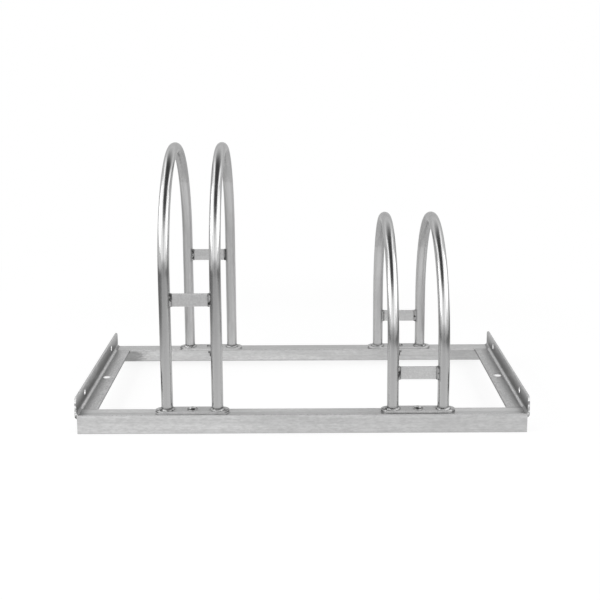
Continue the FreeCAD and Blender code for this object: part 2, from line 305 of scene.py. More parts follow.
# Fine lines that rolling or drawing leaves along the stock. Squash is small along the run.
mill_lines, enter, leave = new_tree("mill lines", "ShaderNodeTree", {
    "Vector": "Vector", "Squash": (0.02, 1.0, 1.0), "Fineness": 900.0,
}, {"Lines": "Float", "Bands": "Float"})
run = stretched(enter["Vector"], enter["Squash"])
fine = noise(run, enter["Fineness"], detail=4.0, roughness=0.7)
quarter = times(enter["Fineness"], 0.16)
broad = noise(run, quarter, detail=2.0, roughness=0.5)
mill_lines.links.new(spread(fine, 0.3, 0.7), leave["Lines"])
mill_lines.links.new(spread(broad, 0.3, 0.7), leave["Bands"])

# Cloudy dull patches of the zinc coat, with a grainy edge.
dull_zinc, enter, leave = new_tree("dull zinc", "ShaderNodeTree", {
    "Vector": "Vector", "Patches": 30.0, "Cover": 0.5,
}, {"Mask": "Float", "Grain": "Float"})
cloud = noise(enter["Vector"], enter["Patches"], detail=5.0, roughness=0.62, distortion=0.6)
grain_scale = times(enter["Patches"], 38.0)
grain = noise(enter["Vector"], grain_scale, detail=2.0, roughness=0.6)
edge = minus(1.0, enter["Cover"])
ragged = times_plus(grain, 0.16, minus(cloud, 0.08))
mask = times_plus(minus(ragged, edge), 6.0, 0.5, clamp=True)
dull_zinc.links.new(mask, leave["Mask"])
dull_zinc.links.new(grain, leave["Grain"])

# Where corners and arrises are rubbed bright, from the edge faces that each mesh marks.
rubbed_edge, enter, leave = new_tree("rubbed edge", "ShaderNodeTree", {
    "Vector": "Vector", "Edge": 0.0, "Wear": 0.6,
}, {"Mask": "Float"})
chafe = noise(enter["Vector"], 160.0, detail=4.0, roughness=0.7)
kept = spread(plus(chafe, enter["Wear"]), 0.75, 1.15)
rubbed_edge.links.new(times(kept, enter["Edge"]), leave["Mask"])

# Thin stray scratches from handling and stacking.
scuffs, enter, leave = new_tree("scuffs", "ShaderNodeTree", {
    "Vector": "Vector", "Size": 40.0, "Amount": 0.5,
}, {"Mask": "Float"})
bent = put(scuffs, "ShaderNodeTexNoise", {"Vector": enter["Vector"], "Scale": 12.0}).outputs["Color"]
moved = vector_math("ADD", enter["Vector"], stretched(bent, (0.05, 0.05, 0.05)))
cells = made(scuffs, "ShaderNodeTexVoronoi", {"Vector": moved, "Scale": enter["Size"]},
             feature="DISTANCE_TO_EDGE")
thin = spread(cells, 0.0, 0.012, 1.0, 0.0)
some = spread(noise(enter["Vector"], 55.0, detail=3.0), 0.55, 0.68)
scuffs.links.new(times(times(thin, some), enter["Amount"]), leave["Mask"])


def attribute(tree, name):
    return put(tree, "ShaderNodeAttribute", attribute_name=name, attribute_type="GEOMETRY").outputs


def start_metal(name, glance):
    """A material with its coordinates, its marked edges and an all-metal shader. At a glance along the
    surface the metal shows this much of what is mirrored."""
    material = bpy.data.materials.new(name)
    material.use_nodes = True
    tree = material.node_tree
    shader = tree.nodes["Principled BSDF"]
    shader.inputs["Metallic"].default_value = 1.0
    shader.inputs["Specular Tint"].default_value = (glance, glance, glance, 1)
    return material, tree, shader, object_place(tree), attribute(tree, "rubbed")["Fac"]


def use_group(group, inputs):
    return put(tree_of(*inputs.values()), "ShaderNodeGroup", inputs, node_tree=group).outputs


def coats(shade, *layers):
    """Lays masks over a shade in turn. Each layer is a mask, the share of it that shows, and its level."""
    for mask, share, level in layers:
        shade = blend_grey(mask if share == 1 else times(mask, share), shade, level)
    return shade


def finish_metal(shader, grey, roughness, height, depth):
    """Feeds a grey, a roughness and a bump to the shader. The depth is in metres."""
    tree = tree_of(grey)
    colour = made(tree, "ShaderNodeCombineColor", {0: grey, 1: grey, 2: grey})
    bump = made(tree, "ShaderNodeBump", {"Strength": 1.0, "Distance": depth, "Height": height})
    for name, value in (("Base Color", colour), ("Roughness", roughness), ("Normal", bump)):
        tree.links.new(value, shader.inputs[name])


def angle_steel(name, squash, grey, glance, stains_and_painted_light):
    """Satin zinc on rolled angle: lines along the bar, a fine mottle, dull clouds, rubbed arrises, a few
    scuffs, and the stains, painted shade, bare spots and painted highlights that its own place gives."""
    material, tree, shader, place, marked = start_metal(name, glance)
    lines = use_group(mill_lines, {"Vector": place, "Squash": squash, "Fineness": 420.0})
    clouds = use_group(dull_zinc, {"Vector": stretched(place, tuple(value ** 0.5 for value in squash)),
                                   "Patches": 26.0, "Cover": 0.46})
    rub = use_group(rubbed_edge, {"Vector": place, "Edge": marked, "Wear": 0.5})["Mask"]
    marks = use_group(scuffs, {"Vector": place, "Size": 34.0, "Amount": 0.5})["Mask"]
    mottle = noise(stretched(place, tuple(value ** 0.25 for value in squash)), 330.0, detail=4.0,
                   roughness=0.65)
    shade = blend_grey(lines["Bands"], grey * 0.93, grey * 1.07)
    shade = coats(shade, (lines["Lines"], 0.45, grey * 0.85))
    shade = times(shade, spread(mottle, 0.32, 0.68, 0.9, 1.1))
    shade = coats(shade, (clouds["Mask"], 0.5, grey * 0.84), (marks, 1, grey * 1.3), (rub, 0.8, grey * 1.38))
    # Stains and painted shade darken the grey; bare spots and painted highlights lighten it.
    stain_and_shade, bare_and_highlit = stains_and_painted_light(place, mottle)
    shade = coats(shade, (stain_and_shade, 1, grey * 0.3), (bare_and_highlit, 1, 0.95))
    roughness = blend_grey(clouds["Mask"], 0.32, 0.44)
    roughness = times_plus(lines["Lines"], 0.08, roughness)
    roughness = blend_grey(rub, roughness, 0.24)
    height = times_plus(lines["Lines"], 0.6, times(clouds["Grain"], 0.5))
    height = minus(height, marks)
    finish_metal(shader, shade, roughness, height, 0.00002)
    return material


def angle_outline(steps=8):
    """The rolled section's corners and arcs, as distances along the two legs from the heel."""
    points = [(0.0, 0.0), (angle_leg, 0.0)]

    def turn(centre_a, centre_b, radius, start, end):
        for step in range(steps + 1):
            angle = math.radians(start + (end - start) * step / steps)
            points.append((centre_a + radius * math.cos(angle), centre_b + radius * math.sin(angle)))

    turn(angle_leg - angle_toe, angle_wall - angle_toe, angle_toe, 0, 90)
    turn(angle_wall + angle_root, angle_wall + angle_root, angle_root, 270, 180)
    turn(angle_wall - angle_toe, angle_leg - angle_toe, angle_toe, 0, 90)
    points.append((0.0, angle_leg))
    return points


def form_piece(name, form):
    """Makes a closed form a piece whose faces point outwards."""
    bmesh.ops.recalc_face_normals(form, faces=form.faces)
    mesh = bpy.data.meshes.new(name)
    form.to_mesh(mesh)
    form.free()
    return link_piece(name, mesh)


def prism(name, outline, start, end):
    """A closed bar: the outline's points at its start and at its end, given by two functions."""
    form = bmesh.new()
    first = [form.verts.new(start(*point)) for point in outline]
    last = [form.verts.new(end(*point)) for point in outline]
    form.faces.new(first)
    form.faces.new(last)
    for index in range(len(outline)):
        after = (index + 1) % len(outline)
        form.faces.new((first[index], first[after], last[after], last[index]))
    return form_piece(name, form)


def circle_points(radius, count=64):
    angles = [2 * math.pi * step / count for step in range(count)]
    return [(radius * math.cos(angle), radius * math.sin(angle)) for angle in angles]


def drill(name, centre, axis, radius, depth):
    """A round cutter through a centre, along X or Z."""
    def at(u, v, reach):
        if axis == "X":
            return centre + Vector((reach, u, v))
        return centre + Vector((u, v, reach))

    return prism(name, circle_points(radius), lambda u, v: at(u, v, -depth), lambda u, v: at(u, v, depth))


def settle(piece):
    """Applies a piece's modifiers, so that it is a plain mesh with its place in its points."""
    depsgraph = bpy.context.evaluated_depsgraph_get()
    finished = piece.evaluated_get(depsgraph)
    mesh = bpy.data.meshes.new_from_object(finished, preserve_all_data_layers=True, depsgraph=depsgraph)
    piece.modifiers.clear()
    piece.data = mesh


def cut(piece, cutters, operation="DIFFERENCE"):
    for cutter in cutters:
        change = piece.modifiers.new("cut", "BOOLEAN")
        change.object = cutter
        change.operation = operation
        change.solver = "EXACT"
        settle(piece)
        bpy.data.objects.remove(cutter)


def ease_edges(piece, width, sharper_than=28, steps=2):
    """Rounds the piece's arrises a little, marks them as rubbed and keeps its flats flat in the light."""
    form = bmesh.new()
    form.from_mesh(piece.data)
    bmesh.ops.remove_doubles(form, verts=form.verts, dist=0.000002)
    bmesh.ops.dissolve_limit(form, angle_limit=math.radians(0.5), verts=form.verts, edges=form.edges)
    limit = math.radians(sharper_than)
    sharp = [edge for edge in form.edges if edge.is_manifold and edge.calc_face_angle() > limit]
    rounded = bmesh.ops.bevel(form, geom=sharp, offset=width, segments=steps, profile=0.5, affect="EDGES",
                              clamp_overlap=True)
    form.faces.index_update()
    rubbed = {face.index for face in rounded["faces"]}
    form.to_mesh(piece.data)
    form.free()
    mark = piece.data.attributes.new("rubbed", "FLOAT", "FACE")
    mark.data.foreach_set("value", [float(index in rubbed) for index in range(len(piece.data.polygons))])
    piece.data.shade_smooth()
    even = piece.modifiers.new("even", "WEIGHTED_NORMAL")
    even.keep_sharp = True
    settle(piece)


def finish_piece(piece, material, slot, *nodes):
    """Gives a piece its material and puts it in the place of its CAD nodes."""
    if material:
        piece.data.materials.clear()
        piece.data.materials.append(material)
    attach(piece, "root")
    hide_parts(*nodes)


def strongest(*values):
    return reduce(larger, values)


def front_rail_painted_shade(place, mottle):
    """Painted shade: darker along the lower arris where the rail meets the ground, a darker top, most along
    its outer edge, and a slightly darker face on the right-hand side, as the light falls."""
    x, y, z = parts_of(place)
    # Painted shade: the top darker than the face, most along its outer edge.
    on_top = spread(z, rail_top - 0.0012, rail_top - 0.0004)
    outer_edge = spread(y, -bolt_line - 0.002, -bolt_line - 0.006, 0.15, 0.29)
    # Painted shade along the lower arris, where the rail meets the ground.
    low_arris = times(spread(z, 0.0006, 0.0018, 1.0, 0.0), spread(mottle, 0.3, 0.6, 0.1, 0.4))
    # Painted shade: the face a little darker towards the right, as the light falls.
    to_right = spread(x, -0.12, 0.0, 0.0, 0.13)
    return strongest(low_arris, times(on_top, outer_edge), to_right), 0.0


def rear_rail_painted_shade(place, mottle):
    """Painted shade along the lower arris and inside the left end's corner under the flange, a painted
    shadow of the flange in a line just under it, a darker top, and darker towards the right end under the
    flange."""
    x, y, z = parts_of(place)
    inside = calculate("LESS_THAN", y, frame_half_depth - angle_wall / 2)
    under = times(inside, spread(z, flange_underside, flange_underside - 0.002))
    ragged = times_plus(minus(mottle, 0.5), 0.05, x)
    # Painted shade inside the left end's corner, under the flange.
    corner_shade = times(under, spread(ragged, -0.318, -0.288, 0.72, 0.0))
    darker_right = plus(spread(x, 0.04, 0.16, 0.0, 0.18), spread(ragged, 0.25, 0.30, 0.0, 0.24))
    # Painted shade along the lower arris, where the leg meets the ground.
    low_arris = spread(z, 0.0016, 0.0042, 0.28, 0.0)
    # Painted shadow of the flange, in a line just under it.
    line_above = times(inside, spread(z, flange_underside - 0.0030, flange_underside - 0.0012, 0.0, 0.2))
    # Painted shade: the top darker than the face.
    top_shade = spread(z, rail_top - 0.0007, rail_top - 0.0003, 0.0, 0.32)
    return strongest(low_arris, corner_shade, times(under, darker_right), line_above, top_shade), 0.0


along_x = (0.012, 1.0, 1.0)
rail_zinc = {
    "front": angle_steel("zinc on front rail", along_x, 0.605, 0.85, front_rail_painted_shade),
    "rear": angle_steel("zinc on rear rail", along_x, 0.665, 0.8, rear_rail_painted_shade),
}
for rail, side in (("front", -1), ("rear", 1)):
    outer = side * frame_half_depth
    bar = prism(
        f"{rail}_rail_bar", angle_outline(),
        lambda a, b: (-rail_end, outer - side * a, rail_top - b),
        lambda a, b: (rail_end, outer - side * a, rail_top - b),
    )
    hole_centres = [Vector((middle, side * bolt_line, rail_top)) for middle in bay_middles.values()]
    cut(bar, [drill("bolt hole", centre, "Z", bolt_hole_radius, drill_reach) for centre in hole_centres])
    ease_edges(bar, 0.0004)
    finish_piece(bar, rail_zinc[rail], "angle_steel", f"{rail}_rail")


# ---------------------------------------------------------------- end angles
# The same rolled angle across both ends, one leg up. The flat leg is notched to lie between the rails'
# flanges, the upright leg has rounded top corners, and punched holes take coupling bolts and an anchor.
end_face = 0.350
end_bottom = 0.027
end_top = 0.057
corner_radius = 0.008
coupling_hole = (0.125, 0.045, 0.0045)
anchor_hole = (0.334, 0.0, 0.006)


def end_stains_and_shade(place, mottle):
    """Painted shade beside the root on both legs and along the flat leg's inner arris, for the dark they
    mirror; specks all over, soot at the joints, scorched and bright patches on the sawn ends, and a painted
    highlight in the holes' bores."""
    x, y, z = parts_of(place)
    from_heel = minus(end_face, unsigned(x))
    up = minus(z, end_bottom)
    from_toe = minus(angle_leg, from_heel)
    # Painted shade: a dark line along the flat leg's inner arris, for the shaded floor it mirrors.
    toe_line = times(spread(from_toe, 0.0004, 0.0014, 0.6, 0.0), spread(mottle, 0.3, 0.55, 0.4, 1.0))

    def beside_root(along_leg, off_leg, level, fades_from, fades_to):
        band = times(spread(along_leg, 0.0064, 0.0085), spread(along_leg, fades_from, fades_to, level, 0.0))
        inner_face = calculate("COMPARE", off_leg, angle_wall, 0.0006)
        return times(band, inner_face)

    # Painted shade beside the root on both legs, for the dark reflection of the other leg.
    flat_leg_shade = beside_root(from_heel, up, 0.36, 0.0085, 0.024)
    upright_shade = beside_root(up, from_heel, 0.72, 0.013, 0.031)
    specks = spread(noise(place, 420.0, detail=2.0), 0.46, 0.6, 0.0, 0.36)
    past_notch = spread(unsigned(y), frame_half_depth - angle_leg - 0.003, frame_half_depth - angle_leg)
    at_joint = times(past_notch, spread(z, rail_top + 0.0036, rail_top + 0.0012))
    at_joint = times(at_joint, 0.75)
    sawn = calculate("GREATER_THAN", unsigned(y), frame_half_depth - 0.0006)
    scorched = times(sawn, spread(mottle, 0.5, 0.58, 0.0, 0.8))
    stain_and_shade = strongest(toe_line, flat_leg_shade, upright_shade, specks, at_joint, scorched)
    glint = times(sawn, spread(mottle, 0.47, 0.41))

    def in_bore(first, second, radius):
        distance = vector_math("LENGTH", vector_of(first, second))
        return calculate("LESS_THAN", distance, radius + 0.0002)

    # Painted highlight: the bores of the coupling and anchor holes near white.
    from_coupling = minus(unsigned(y), coupling_hole[0])
    coupling_bore = in_bore(from_coupling, minus(z, coupling_hole[1]), coupling_hole[2])
    from_anchor = minus(unsigned(x), anchor_hole[0])
    anchor_bore = in_bore(from_anchor, y, anchor_hole[2])
    return stain_and_shade, strongest(glint, coupling_bore, anchor_bore)


along_y = (1.0, 0.012, 1.0)
end_zinc = angle_steel("zinc on end angles", along_y, 0.65, 0.6, end_stains_and_shade)
end_outline = [(-frame_half_depth, end_bottom), (frame_half_depth, end_bottom)]
for start, sign in ((0, 1), (90, -1)):
    for step in range(13):
        angle = math.radians(start + 90 * step / 12)
        end_outline.append((sign * (frame_half_depth - corner_radius) + corner_radius * math.cos(angle),
                            end_top - corner_radius + corner_radius * math.sin(angle)))

for end, side in (("left", -1), ("right", 1)):
    outer = side * end_face
    bar = prism(
        f"{end}_end_bar", angle_outline(),
        lambda a, b: (outer - side * a, -frame_half_depth - 0.002, end_bottom + b),
        lambda a, b: (outer - side * a, frame_half_depth + 0.002, end_bottom + b),
    )
    trim = prism(
        "trim", end_outline,
        lambda y, z: (outer + side * 0.002, y, z),
        lambda y, z: (outer - side * 0.040, y, z),
    )
    cut(bar, [trim], "INTERSECT")
    notches = []
    for rail_side in (-1, 1):
        inner, beyond = rail_side * (frame_half_depth - angle_leg), rail_side * 0.210
        notch = [(inner, 0.020), (beyond, 0.020), (beyond, rail_top), (inner, rail_top)]
        notches.append(prism("notch", notch, lambda y, z: (side * rail_end, y, z),
                             lambda y, z: (side * 0.310, y, z)))
    cut(bar, notches)
    apart, height, radius = coupling_hole
    holes = [drill("coupling hole", Vector((outer, rail_side * apart, height)), "X", radius, 0.008)
             for rail_side in (-1, 1)]
    anchor = Vector((side * anchor_hole[0], anchor_hole[1], 0.0285))
    holes.append(drill("anchor hole", anchor, "Z", anchor_hole[2], 0.006))
    cut(bar, holes)
    ease_edges(bar, 0.0004)
    finish_piece(bar, end_zinc, "angle_steel", f"{end}_end_angle")


# ---------------------------------------------------------------- foot plates
# Flat bar with full-round ends, punched square in the middle for the bolt's neck. Each carries the two
# legs of a bay at one rail and lies on the rail's flange.
plate_top = 0.034
plate_length = 0.115
plate_width = 0.025
neck_width = 0.0064
hoop_spacing = 0.078
charred_spots = ((-0.2260, -0.186), (-0.1155, -0.185), (0.1250, -0.183), (0.2360, -0.187), (-0.2250, 0.171))


def flat_bar_steel(name, squash, level, heated_and_highlit):
    """Satin zinc on cut flat bar. Round a welded foot or end the coat is burnt darker, and a painted
    highlight lightens it where its place asks.
    """
    material, tree, shader, place, marked = start_metal(name, 0.65)
    lines = use_group(mill_lines, {"Vector": place, "Squash": squash, "Fineness": 620.0})
    clouds = use_group(dull_zinc, {"Vector": place, "Patches": 42.0, "Cover": 0.42})
    rub = use_group(rubbed_edge, {"Vector": place, "Edge": marked, "Wear": 0.75})["Mask"]
    marks = use_group(scuffs, {"Vector": place, "Size": 60.0, "Amount": 0.6})["Mask"]
    mottle = noise(place, 380.0, detail=3.0, roughness=0.65)
    grey = blend_grey(lines["Bands"], level * 0.95, level * 1.05)
    grey = coats(grey, (lines["Lines"], 0.35, level * 0.85))
    grey = times(grey, spread(mottle, 0.32, 0.68, 0.92, 1.08))
    grey = coats(grey, (clouds["Mask"], 0.5, level * 0.85), (marks, 1, level * 1.2))
    heated, joint_highlight = heated_and_highlit(place)
    burnt = strongest(*[times(heat_near(place, near, reach), strength) for near, reach, strength in heated])
    # The last layer is a painted highlight, where the place function asks for one.
    grey = coats(grey, (burnt, 1, 0.16), (rub, 0.6, level * 1.12), (joint_highlight, 1, 0.9))
    roughness = blend_grey(clouds["Mask"], 0.38, 0.50)
    roughness = blend_grey(burnt, roughness, 0.5)
    height = times_plus(lines["Lines"], 0.5, times(clouds["Grain"], 0.6))
    finish_metal(shader, grey, roughness, height, 0.00002)
    return material


# The zinc and the steel are darkened near a weld, less and less up to a reach, with a ragged edge.
weld_heat, enter, leave = new_tree("weld heat", "ShaderNodeTree", {
    "Vector": "Vector", "Distance": 1.0, "Reach": 0.01,
}, {"Mask": "Float"})
flame = noise(enter["Vector"], 220.0, detail=4.0, roughness=0.65)
shifted = times_plus(minus(flame, 0.5), enter["Reach"], enter["Distance"])
weld_heat.links.new(spread(divided(shifted, enter["Reach"]), 0.15, 1.0, 1.0, 0.0), leave["Mask"])


def heat_near(place, near, reach):
    return use_group(weld_heat, {"Vector": place, "Distance": near, "Reach": reach})["Mask"]


def column_distance(place, x, y, radius):
    """The distance from an upright tube's wall, level with the ground."""
    off = stretched(vector_math("SUBTRACT", place, (x, y, 0.0)), (1.0, 1.0, 0.0))
    return minus(vector_math("LENGTH", off), radius)


def off_bay_middle(x):
    """How far a place is from the middle of the nearer bay, more than 0 on the side away from the other."""
    centre = minus(x, (bay_middles["high"] + bay_middles["low"]) / 2)
    return minus(unsigned(centre), (bay_middles["low"] - bay_middles["high"]) / 2)


def plate_feet(place):
    """Folds the four plates onto one, so one pair of feet stands for all of them. A few spots by the
    plates' ends are charred, and a painted highlight lightens the lower arris at the joint under the high
    bay's plates."""
    x, y, z = parts_of(place)
    from_leg = minus(unsigned(off_bay_middle(x)), hoop_spacing / 2)
    from_line = minus(unsigned(y), bolt_line)
    feet = column_distance(vector_of(from_leg, from_line), 0.0, 0.0, 0.009)
    # Painted highlight on the plate's lower arris at the rail, on the high bay only, against the shade in the
    # joint.
    at_joint = spread(z, rail_top + 0.0012, rail_top + 0.0005)
    joint_highlight = times(at_joint, spread(x, 0.0, -0.1))
    spots = [(column_distance(place, *spot, 0.002), 0.005, 0.85) for spot in charred_spots]
    return [(feet, 0.006, 0.4)] + spots, joint_highlight


def finish_tree(geometry, enter, leave):
    """Ends a geometry tree: real faces in place of copies, then the material."""
    tree = tree_of(geometry)
    joined = made(tree, "GeometryNodeRealizeInstances", {0: geometry})
    coated = made(tree, "GeometryNodeSetMaterial", {"Geometry": joined, "Material": enter["Finish"]})
    tree.links.new(coated, leave["Geometry"])


# Sets one finished shape at several points, each copy turned by a chance part of the spread.
set_at_points, enter, leave = new_tree("set at points", "GeometryNodeTree", {
    "Points": "Geometry", "Shape": "Object", "Turn Spread": 0.0, "Seed": 3, "Finish": "Material",
}, {"Geometry": "Geometry"})
shape = put(set_at_points, "GeometryNodeObjectInfo", {"Object": enter["Shape"]}).outputs["Geometry"]
chance = put(set_at_points, "FunctionNodeRandomValue", {2: 0.0, 3: 1.0, "Seed": enter["Seed"]},
             data_type="FLOAT").outputs[1]
turned = vector_of(0.0, 0.0, times(chance, enter["Turn Spread"]))
copies = {"Points": enter["Points"], "Instance": shape, "Rotation": turned}
finish_tree(made(set_at_points, "GeometryNodeInstanceOnPoints", copies), enter, leave)


def run_tree(piece, tree, values):
    """Runs a geometry tree on a piece with named values and keeps the result as its plain mesh."""
    change = piece.modifiers.new(tree.name, "NODES")
    change.node_group = tree
    for item in tree.interface.items_tree:
        if item.item_type == "SOCKET" and item.in_out == "INPUT" and item.name in values:
            change[item.identifier] = values[item.name]
    piece.update_tag()
    settle(piece)


def set_copies(name, points, shape, finish, slot, nodes, chance=()):
    """Sets one finished shape at the points, as one piece for the CAD nodes named after their places."""
    piece = plain_piece(name, points)
    run_tree(piece, set_at_points, {"Shape": shape, "Finish": finish, **dict(chance)})
    bpy.data.objects.remove(shape)
    finish_piece(piece, None, slot, *[f"{nodes}_{place}" for place in bolt_places])


def rectangle(half_width, half_height):
    return [(sign_x * half_width, sign_y * half_height)
            for sign_x, sign_y in ((-1, -1), (1, -1), (1, 1), (-1, 1))]


bolt_points = [(middle, side * bolt_line, 0.0) for middle in bay_middles.values() for side in (-1, 1)]
bolt_places = [f"{bay}_{rail}" for bay in bay_middles for rail in ("front", "rear")]

plate_outline = []
for sign, start in ((1, -90), (-1, 90)):
    for step in range(25):
        angle = math.radians(start + 180 * step / 24)
        plate_outline.append((sign * (plate_length - plate_width) / 2 + plate_width / 2 * math.cos(angle),
                              plate_width / 2 * math.sin(angle)))
one_plate = prism("one plate", plate_outline, lambda x, y: (x, y, rail_top), lambda x, y: (x, y, plate_top))
neck_clearance = 0.0002
neck_hole = rectangle(neck_width / 2 + neck_clearance, neck_width / 2 + neck_clearance)
cut(one_plate, [prism("neck hole", neck_hole, lambda x, y: (x, y, 0.028), lambda x, y: (x, y, 0.036))])
ease_edges(one_plate, 0.0005, steps=3)
plate_zinc = flat_bar_steel("zinc on foot plates", (0.03, 1.0, 1.0), 0.53, plate_feet)
set_copies("foot_plate_bars", bolt_points, one_plate, plate_zinc, "flat_bar", "foot_plate")


# ---------------------------------------------------------------- hoops
# Bright zinc-coated steel tube. Each is one length bent cold to a half circle over two straight legs,
# whose square-cut ends stand on the front and the rear foot plate.
tube_radius = 0.009
tube_wall = 0.0015
bend_radius = 0.178
bend_heights = {"high": 0.244, "low": 0.125}
crossbar_levels = {"high": 0.208, "low": 0.091}
hoop_feet = {f"{bay}_{end}": middle + side * hoop_spacing / 2
             for bay, middle in bay_middles.items() for end, side in (("left", -1), ("right", 1))}


def capture(geometry, kind, name, value):
    """Keeps a value at a curve's points. Gives the curve and the kept value."""
    node = put(tree_of(geometry), "GeometryNodeCaptureAttribute")
    node.capture_items.new(kind, name)
    node.id_data.links.new(geometry, node.inputs[0])
    node.id_data.links.new(value, node.inputs[1])
    return node.outputs[0], node.outputs[1]


def store(geometry, name, value, kind):
    """Stores a value at a mesh's points under a name that materials read."""
    inputs = {"Geometry": geometry, "Name": name, "Value": value}
    return made(tree_of(geometry), "GeometryNodeStoreNamedAttribute", inputs, data_type=kind, domain="POINT")


# The tube's middle line is a formula of the distance along it. Every point also keeps where it was on
# the straight tube before bending, for the draw lines that follow the bend.
bent_tube, enter, leave = new_tree("bent tube", "GeometryNodeTree", {
    "Start": (0.0, 0.0, 0.0), "Leg": 0.2, "Bend Radius": 0.178, "Tube Radius": 0.009,
    "Points Along": 176, "Points Round": 40, "Finish": "Material",
}, {"Geometry": "Geometry"})
arc_length = times(enter["Bend Radius"], math.pi)
cut_length = times_plus(enter["Leg"], 2.0, arc_length)
far_end = vector_of(0.0, 0.0, cut_length)
straight = made(bent_tube, "GeometryNodeCurvePrimitiveLine", {"Start": (0, 0, 0), "End": far_end})
stepped = made(bent_tube, "GeometryNodeResampleCurve", {"Curve": straight, "Count": enter["Points Along"]})
run_so_far = put(bent_tube, "GeometryNodeSplineParameter").outputs["Length"]
stepped, travel = capture(stepped, "FLOAT", "Along", run_so_far)
past_leg = minus(travel, enter["Leg"])
bent_angle = divided(past_leg, enter["Bend Radius"])
bent_angle = smaller(larger(bent_angle, 0.0), math.pi)
up_first = smaller(travel, enter["Leg"])
down_last = larger(minus(past_leg, arc_length), 0.0)
over = times_plus(calculate("SINE", bent_angle), enter["Bend Radius"], up_first)
turned_back = times(enter["Bend Radius"], -1.0)
across = times(calculate("COSINE", bent_angle), turned_back)
line_place = vector_of(0.0, across, minus(over, down_last))
line_place = vector_math("ADD", line_place, enter["Start"])
bent_line = made(bent_tube, "GeometryNodeSetPosition", {"Geometry": stepped, "Position": line_place})
ring = {"Resolution": enter["Points Round"], "Radius": enter["Tube Radius"]}
ring = made(bent_tube, "GeometryNodeCurvePrimitiveCircle", ring)
ring, around = capture(ring, "VECTOR", "Around", made(bent_tube, "GeometryNodeInputPosition"))
skin = made(bent_tube, "GeometryNodeCurveToMesh", {"Curve": bent_line, "Profile Curve": ring})
on_straight = vector_math("ADD", around, vector_of(0.0, 0.0, travel))
skin = store(skin, "straight tube", on_straight, "FLOAT_VECTOR")
finish_tree(made(bent_tube, "GeometryNodeSetShadeSmooth", {"Geometry": skin}), enter, leave)


def tube_steel(name, bay):
    """Bright zinc on drawn tube: smooth, with draw lines, dull clouds and darker metal by the welds. The
    rear half is rougher and cloudier, its grey painted lighter, and darker where the bending shoe held."""
    material, tree, shader, place, marked = start_metal(name, 0.65)
    drawn = attribute(tree, "straight tube")["Vector"]
    lines = use_group(mill_lines, {"Vector": drawn, "Squash": (1.0, 1.0, 0.012), "Fineness": 900.0})
    clouds = use_group(dull_zinc, {"Vector": stretched(drawn, (1.0, 1.0, 0.3)), "Patches": 60.0,
                                   "Cover": 0.42})
    marks = use_group(scuffs, {"Vector": drawn, "Size": 45.0, "Amount": 0.35})["Mask"]
    x, y, z = parts_of(place)
    foot_heat = heat_near(place, minus(z, plate_top + 0.002), 0.005)
    off_level = unsigned(minus(z, crossbar_levels[bay]))
    from_level = minus(off_level, 0.010)
    to_hoop = unsigned(minus(x, bay_middles[bay]))
    off_side = minus(to_hoop, hoop_spacing / 2 - tube_radius * 0.8)
    bar_heat = heat_near(place, larger(from_level, off_side), 0.003)
    burnt = larger(times(foot_heat, 0.45), times(bar_heat, 0.5))
    rear_half = spread(y, -0.03, 0.06)
    grey = blend_grey(lines["Bands"], 0.45, 0.49)
    grey = coats(grey, (lines["Lines"], 0.3, 0.41))
    cloudy = times(clouds["Mask"], blend_grey(rear_half, 0.35, 0.9))
    grey = blend_grey(cloudy, grey, 0.43)
    # Painted light: the rear half's grey is lighter.
    grey = times(grey, blend_grey(rear_half, 1.0, 1.13))
    mottle = noise(drawn, 260.0, detail=4.0, roughness=0.7)
    ragged = times_plus(mottle, 0.012, z)
    tool_end = bend_heights[bay] + bend_radius - 0.074
    tooled = times(rear_half, spread(ragged, tool_end + 0.004, tool_end + 0.008))
    tooled = times(tooled, spread(mottle, 0.35, 0.65, 0.3, 1.0))
    grey = coats(grey, (tooled, 1, 0.42), (marks, 1, 0.55), (burnt, 1, 0.2))
    roughness = blend_grey(clouds["Mask"], 0.15, 0.23)
    roughness = blend_grey(rear_half, roughness, 0.36)
    roughness = times_plus(lines["Lines"], 0.05, roughness)
    roughness = blend_grey(burnt, roughness, 0.42)
    height = times_plus(lines["Lines"], 0.4, times(clouds["Grain"], 0.1))
    height = times_plus(lines["Bands"], 0.6, height)
    finish_metal(shader, grey, roughness, height, 0.000012)
    return material


tube_zinc = {bay: tube_steel(f"bright zinc on {bay} hoops", bay) for bay in bay_middles}
for place, foot_x in hoop_feet.items():
    bay = place.split("_")[0]
    tube = plain_piece(f"hoop_tube_{place}", [(0, 0, 0)])
    run_tree(tube, bent_tube, {
        "Start": (foot_x, 0.0, plate_top), "Leg": bend_heights[bay] - plate_top, "Bend Radius": bend_radius,
        "Tube Radius": tube_radius, "Finish": tube_zinc[bay],
    })
    wall = tube.modifiers.new("wall", "SOLIDIFY")
    wall.thickness = tube_wall
    wall.offset = -1
    settle(tube)
    finish_piece(tube, None, "hoop_tube", f"hoop_{place}")


# ---------------------------------------------------------------- crossbars
# Short pieces of flat bar set on edge between the two hoops of a bay, near the top of the straight
# legs, at the front and at the rear. Their sheared ends butt against the tubes.
wheel_gap = 0.060
crossbar_height = 0.020
crossbar_thickness = 0.004


def crossbar_ends(place):
    from_middle = unsigned(off_bay_middle(parts_of(place)[0]))
    return [(minus(wheel_gap / 2, from_middle), 0.005, 0.5)], 0.0


